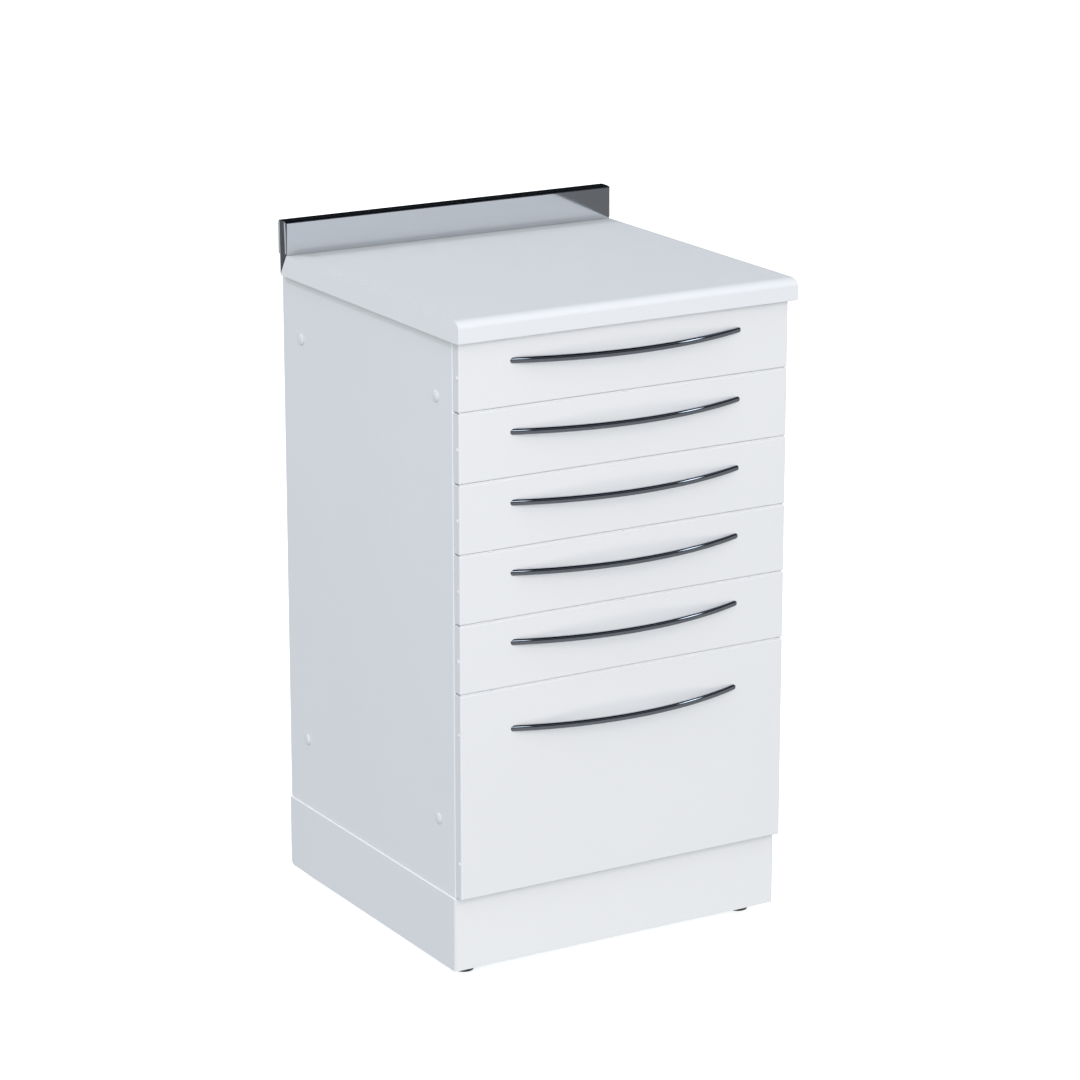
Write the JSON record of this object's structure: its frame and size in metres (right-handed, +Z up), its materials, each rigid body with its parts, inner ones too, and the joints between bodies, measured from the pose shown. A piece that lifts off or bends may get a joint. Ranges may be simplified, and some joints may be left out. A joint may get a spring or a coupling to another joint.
{
  "type": "floor-standing drawer base cabinet",
  "caption": "White metal clinic base cabinet with full-extension drawers, chrome bow handles, rounded worktop, low rear upstand, plinth and levelling feet.",
  "frame": {"origin": "on the floor, under the middle of the overall box", "axes": "+Z up, -Y towards the user (drawers open along -Y), +X to the user's right"},
  "size_m": [0.494, 0.5028, 0.9075],
  "materials": {
    "body_paint": "white powder coat, satin",
    "front_paint": "white powder coat, satin",
    "chrome": "polished chrome plate",
    "laminate": "white high-pressure laminate, fine matt",
    "board": "chipboard",
    "upstand_aluminium": "satin anodised",
    "grey_cap": "dark grey moulded plastic",
    "white_cap": "white moulded plastic",
    "zinc_steel": "bright zinc plated",
    "screw_steel": "zinc plated",
    "foot_plastic": "dark grey moulded plastic"
  },
  "bodies": {
    "cabinet": {"side_panel_left": "body_paint", "side_panel_right": "body_paint", "back_panel": "body_paint", "bottom_panel": "body_paint", "side_posts": "zinc_steel", "worktop_rails": "zinc_steel", "carcass_screws": "screw_steel", "side_caps": "white_cap", "plinth_shell": "body_paint", "plinth_rear_rail": "body_paint", "foot_brackets": "zinc_steel", "worktop_core": "board", "worktop_laminate": "laminate", "upstand_profile": "upstand_aluminium", "upstand_end_caps": "grey_cap", "runner_outer": "zinc_steel"},
    "drawer_1": {"drawer_front_1": "front_paint", "drawer_box_1": "front_paint", "front_rivets_1": "front_paint", "handle_1": "chrome", "runner_inner_1": "zinc_steel"},
    "runner_mid_body_1": {"runner_mid_1": "zinc_steel"},
    "drawer_2": {"drawer_front_2": "front_paint", "drawer_box_2": "front_paint", "front_rivets_2": "front_paint", "handle_2": "chrome", "runner_inner_2": "zinc_steel"},
    "runner_mid_body_2": {"runner_mid_2": "zinc_steel"},
    "drawer_3": {"drawer_front_3": "front_paint", "drawer_box_3": "front_paint", "front_rivets_3": "front_paint", "handle_3": "chrome", "runner_inner_3": "zinc_steel"},
    "runner_mid_body_3": {"runner_mid_3": "zinc_steel"},
    "drawer_4": {"drawer_front_4": "front_paint", "drawer_box_4": "front_paint", "front_rivets_4": "front_paint", "handle_4": "chrome", "runner_inner_4": "zinc_steel"},
    "runner_mid_body_4": {"runner_mid_4": "zinc_steel"},
    "drawer_5": {"drawer_front_5": "front_paint", "drawer_box_5": "front_paint", "front_rivets_5": "front_paint", "handle_5": "chrome", "runner_inner_5": "zinc_steel"},
    "runner_mid_body_5": {"runner_mid_5": "zinc_steel"},
    "drawer_6": {"drawer_front_6": "front_paint", "drawer_box_6": "front_paint", "front_rivets_6": "front_paint", "handle_6": "chrome", "runner_inner_6": "zinc_steel"},
    "runner_mid_body_6": {"runner_mid_6": "zinc_steel"},
    "foot_1": {"foot_pad_1": "foot_plastic"},
    "foot_screw_1": {"foot_stem_1": "screw_steel"},
    "foot_2": {"foot_pad_2": "foot_plastic"},
    "foot_screw_2": {"foot_stem_2": "screw_steel"},
    "foot_3": {"foot_pad_3": "foot_plastic"},
    "foot_screw_3": {"foot_stem_3": "screw_steel"},
    "foot_4": {"foot_pad_4": "foot_plastic"},
    "foot_screw_4": {"foot_stem_4": "screw_steel"}
  },
  "joints": [
    {"name": "drawer_slide_1", "type": "slide", "parent": "cabinet", "child": "drawer_1", "axis": [0, -1, 0], "range_m": [0, 0.4]},
    {"name": "runner_slide_1", "type": "slide", "parent": "cabinet", "child": "runner_mid_body_1", "axis": [0, -1, 0], "range_m": [0, 0.2]},
    {"name": "drawer_slide_2", "type": "slide", "parent": "cabinet", "child": "drawer_2", "axis": [0, -1, 0], "range_m": [0, 0.4]},
    {"name": "runner_slide_2", "type": "slide", "parent": "cabinet", "child": "runner_mid_body_2", "axis": [0, -1, 0], "range_m": [0, 0.2]},
    {"name": "drawer_slide_3", "type": "slide", "parent": "cabinet", "child": "drawer_3", "axis": [0, -1, 0], "range_m": [0, 0.4]},
    {"name": "runner_slide_3", "type": "slide", "parent": "cabinet", "child": "runner_mid_body_3", "axis": [0, -1, 0], "range_m": [0, 0.2]},
    {"name": "drawer_slide_4", "type": "slide", "parent": "cabinet", "child": "drawer_4", "axis": [0, -1, 0], "range_m": [0, 0.4]},
    {"name": "runner_slide_4", "type": "slide", "parent": "cabinet", "child": "runner_mid_body_4", "axis": [0, -1, 0], "range_m": [0, 0.2]},
    {"name": "drawer_slide_5", "type": "slide", "parent": "cabinet", "child": "drawer_5", "axis": [0, -1, 0], "range_m": [0, 0.4]},
    {"name": "runner_slide_5", "type": "slide", "parent": "cabinet", "child": "runner_mid_body_5", "axis": [0, -1, 0], "range_m": [0, 0.2]},
    {"name": "drawer_slide_6", "type": "slide", "parent": "cabinet", "child": "drawer_6", "axis": [0, -1, 0], "range_m": [0, 0.4]},
    {"name": "runner_slide_6", "type": "slide", "parent": "cabinet", "child": "runner_mid_body_6", "axis": [0, -1, 0], "range_m": [0, 0.2]},
    {"name": "foot_lift_1", "type": "slide", "parent": "cabinet", "child": "foot_1", "axis": [0, 0, -1], "range_m": [0, 0.018]},
    {"name": "foot_turn_1", "type": "hinge", "parent": "foot_1", "child": "foot_screw_1", "pos_m": [-0.2094, -0.1665, 0], "axis": [0, 0, -1], "range_deg": [0, 4320]},
    {"name": "foot_lift_2", "type": "slide", "parent": "cabinet", "child": "foot_2", "axis": [0, 0, -1], "range_m": [0, 0.018]},
    {"name": "foot_turn_2", "type": "hinge", "parent": "foot_2", "child": "foot_screw_2", "pos_m": [0.2094, -0.1665, 0], "axis": [0, 0, -1], "range_deg": [0, 4320]},
    {"name": "foot_lift_3", "type": "slide", "parent": "cabinet", "child": "foot_3", "axis": [0, 0, -1], "range_m": [0, 0.018]},
    {"name": "foot_turn_3", "type": "hinge", "parent": "foot_3", "child": "foot_screw_3", "pos_m": [-0.2094, 0.2162, 0], "axis": [0, 0, -1], "range_deg": [0, 4320]},
    {"name": "foot_lift_4", "type": "slide", "parent": "cabinet", "child": "foot_4", "axis": [0, 0, -1], "range_m": [0, 0.018]},
    {"name": "foot_turn_4", "type": "hinge", "parent": "foot_4", "child": "foot_screw_4", "pos_m": [0.2094, 0.2162, 0], "axis": [0, 0, -1], "range_deg": [0, 4320]}
  ],
  "couplings": [
    {"joint": "runner_slide_1", "follows": "drawer_slide_1", "ratio": 0.5},
    {"joint": "runner_slide_2", "follows": "drawer_slide_2", "ratio": 0.5},
    {"joint": "runner_slide_3", "follows": "drawer_slide_3", "ratio": 0.5},
    {"joint": "runner_slide_4", "follows": "drawer_slide_4", "ratio": 0.5},
    {"joint": "runner_slide_5", "follows": "drawer_slide_5", "ratio": 0.5},
    {"joint": "runner_slide_6", "follows": "drawer_slide_6", "ratio": 0.5},
    {"joint": "foot_turn_1", "follows": "foot_lift_1", "rad_per_m": 4188.8},
    {"joint": "foot_turn_2", "follows": "foot_lift_2", "rad_per_m": 4188.8},
    {"joint": "foot_turn_3", "follows": "foot_lift_3", "rad_per_m": 4188.8},
    {"joint": "foot_turn_4", "follows": "foot_lift_4", "rad_per_m": 4188.8}
  ]
}
